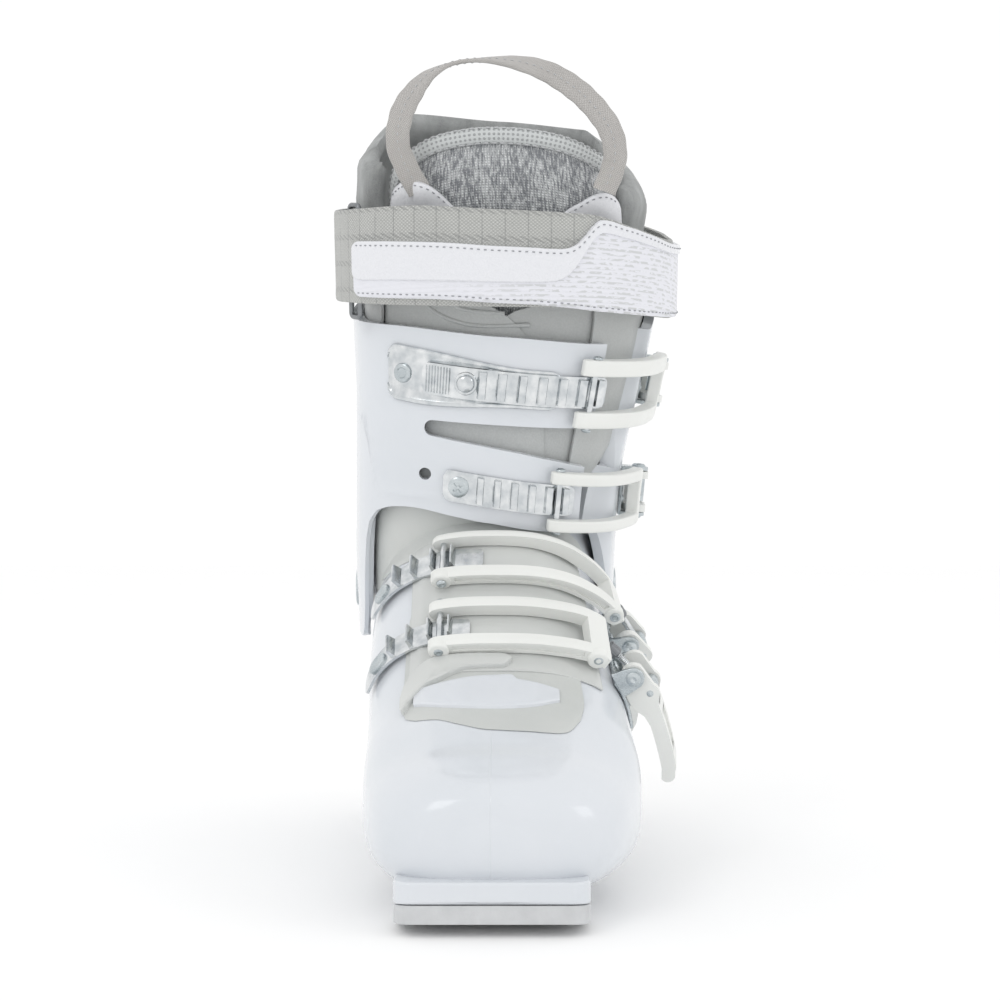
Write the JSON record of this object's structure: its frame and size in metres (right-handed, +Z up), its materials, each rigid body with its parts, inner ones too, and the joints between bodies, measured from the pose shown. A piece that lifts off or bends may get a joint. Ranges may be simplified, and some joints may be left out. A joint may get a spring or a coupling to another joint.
{
  "type": "alpine ski boot",
  "caption": "Left alpine ski boot: lower shell, hinged cuff, padded liner, power strap with pad, pull loop and lever buckles with toothed ladders.",
  "frame": {"origin": "middle of the heel pad's underside, on the ground", "axes": "+Z up, toe towards -Y, lateral (outer) side of the left boot towards +X"},
  "size_m": [0.1532, 0.3, 0.3395],
  "materials": {
    "shell_plastic": "glossy white with a lavender tint",
    "bail_plastic": "satin warm white",
    "sole_rubber": "matt light grey",
    "soft_grey": "soft light grey overmould",
    "grey_flap": "glossy light grey",
    "chrome": "polished",
    "zinc": "bluish zinc plated",
    "dark_steel": "dark wire",
    "velvet": "grey velvet",
    "knit": "heather knit",
    "liner_foam": "lined foam",
    "white_leather": "white synthetic leather",
    "webbing": "grey-beige webbing",
    "loop_webbing": "mauve-grey webbing",
    "board_plastic": "dark grey"
  },
  "bodies": {
    "shell": {"boot_board": "board_plastic", "bracket_instep": "zinc", "bracket_toe": "zinc", "cuff_pivot_lateral": "zinc", "cuff_pivot_medial": "zinc", "footbed": "liner_foam", "heel_sole": "sole_rubber", "instep_gasket": "soft_grey", "ladder_instep": "chrome", "ladder_rivet_instep": "zinc", "ladder_rivet_toe": "zinc", "ladder_toe": "chrome", "liner_foot": "liner_foam", "lower_shell": "shell_plastic", "throat_flap": "grey_flap", "toe_sole": "sole_rubber"},
    "cuff": {"bracket_mid": "zinc", "bracket_upper": "zinc", "cuff": "shell_plastic", "ladder_button_upper": "chrome", "ladder_mid": "chrome", "ladder_rivet_upper": "zinc", "ladder_screw_mid": "zinc", "ladder_tray_upper": "chrome", "ladder_upper": "chrome", "lean_screw": "zinc", "liner_cuff": "velvet", "liner_tongue": "knit", "loop_tab_lateral": "white_leather", "loop_tab_medial": "white_leather", "power_strap": "webbing", "strap_pad": "white_leather", "strap_ring": "dark_steel"},
    "lever_toe": {"lever_toe": "bail_plastic", "link_pin_toe": "zinc"},
    "bail_toe": {"bail_toe": "bail_plastic", "hook_pin_toe": "zinc", "adjuster_toe": "chrome"},
    "lever_instep": {"lever_instep": "bail_plastic", "link_pin_instep": "zinc"},
    "bail_instep": {"bail_instep": "bail_plastic", "hook_pin_instep": "zinc", "adjuster_instep": "chrome"},
    "lever_mid": {"lever_mid": "bail_plastic", "link_pin_mid": "zinc"},
    "bail_mid": {"bail_mid": "bail_plastic", "hook_pin_mid": "zinc", "adjuster_mid": "chrome"},
    "lever_upper": {"lever_upper": "bail_plastic", "link_pin_upper": "zinc"},
    "bail_upper": {"bail_upper": "bail_plastic", "hook_pin_upper": "zinc", "adjuster_upper": "chrome"},
    "pull_loop": {"pull_loop": "loop_webbing"}
  },
  "joints": [
    {"name": "cuff_flex", "type": "hinge", "parent": "shell", "child": "cuff", "pos_m": [0, -0.052, 0.115], "axis": [1, 0, 0], "range_deg": [0, 2.5]},
    {"name": "lever_toe_turn", "type": "hinge", "parent": "shell", "child": "lever_toe", "pos_m": [0.05758, -0.15064, 0.08424], "axis": [-0.1031, -0.9563, -0.2737], "range_deg": [0, 110]},
    {"name": "bail_toe_turn", "type": "hinge", "parent": "lever_toe", "child": "bail_toe", "pos_m": [0.0643, -0.14943, 0.07746], "axis": [-0.1031, -0.9563, -0.2737], "range_deg": [-106.8, 0]},
    {"name": "lever_instep_turn", "type": "hinge", "parent": "shell", "child": "lever_instep", "pos_m": [0.05681, -0.10778, 0.09688], "axis": [0.1138, -0.8428, -0.526], "range_deg": [0, 110]},
    {"name": "bail_instep_turn", "type": "hinge", "parent": "lever_instep", "child": "bail_instep", "pos_m": [0.06348, -0.10349, 0.09147], "axis": [0.1138, -0.8428, -0.526], "range_deg": [-101.3, 0]},
    {"name": "lever_mid_turn", "type": "hinge", "parent": "cuff", "child": "lever_mid", "pos_m": [0.06543, -0.06138, 0.15911], "axis": [-0.0821, 0.0928, -0.9923], "range_deg": [0, 110]},
    {"name": "bail_mid_turn", "type": "hinge", "parent": "lever_mid", "child": "bail_mid", "pos_m": [0.06654, -0.0519, 0.15991], "axis": [-0.0821, 0.0928, -0.9923], "range_deg": [-104.6, 0]},
    {"name": "lever_upper_turn", "type": "hinge", "parent": "cuff", "child": "lever_upper", "pos_m": [0.07383, -0.0612, 0.20958], "axis": [-0.1794, 0.1249, -0.9758], "range_deg": [0, 110]},
    {"name": "bail_upper_turn", "type": "hinge", "parent": "lever_upper", "child": "bail_upper", "pos_m": [0.07423, -0.0517, 0.21072], "axis": [-0.1794, 0.1249, -0.9758], "range_deg": [-104.6, 0]},
    {"name": "pull_loop_flop", "type": "hinge", "parent": "cuff", "child": "pull_loop", "pos_m": [0, -0.148, 0.288], "axis": [1, 0, 0], "range_deg": [0, 70]}
  ],
  "couplings": [
    {"joint": "bail_toe_turn", "follows": "lever_toe_turn", "ratio": -0.97},
    {"joint": "bail_instep_turn", "follows": "lever_instep_turn", "ratio": -0.92},
    {"joint": "bail_mid_turn", "follows": "lever_mid_turn", "ratio": -0.95},
    {"joint": "bail_upper_turn", "follows": "lever_upper_turn", "ratio": -0.95}
  ]
}
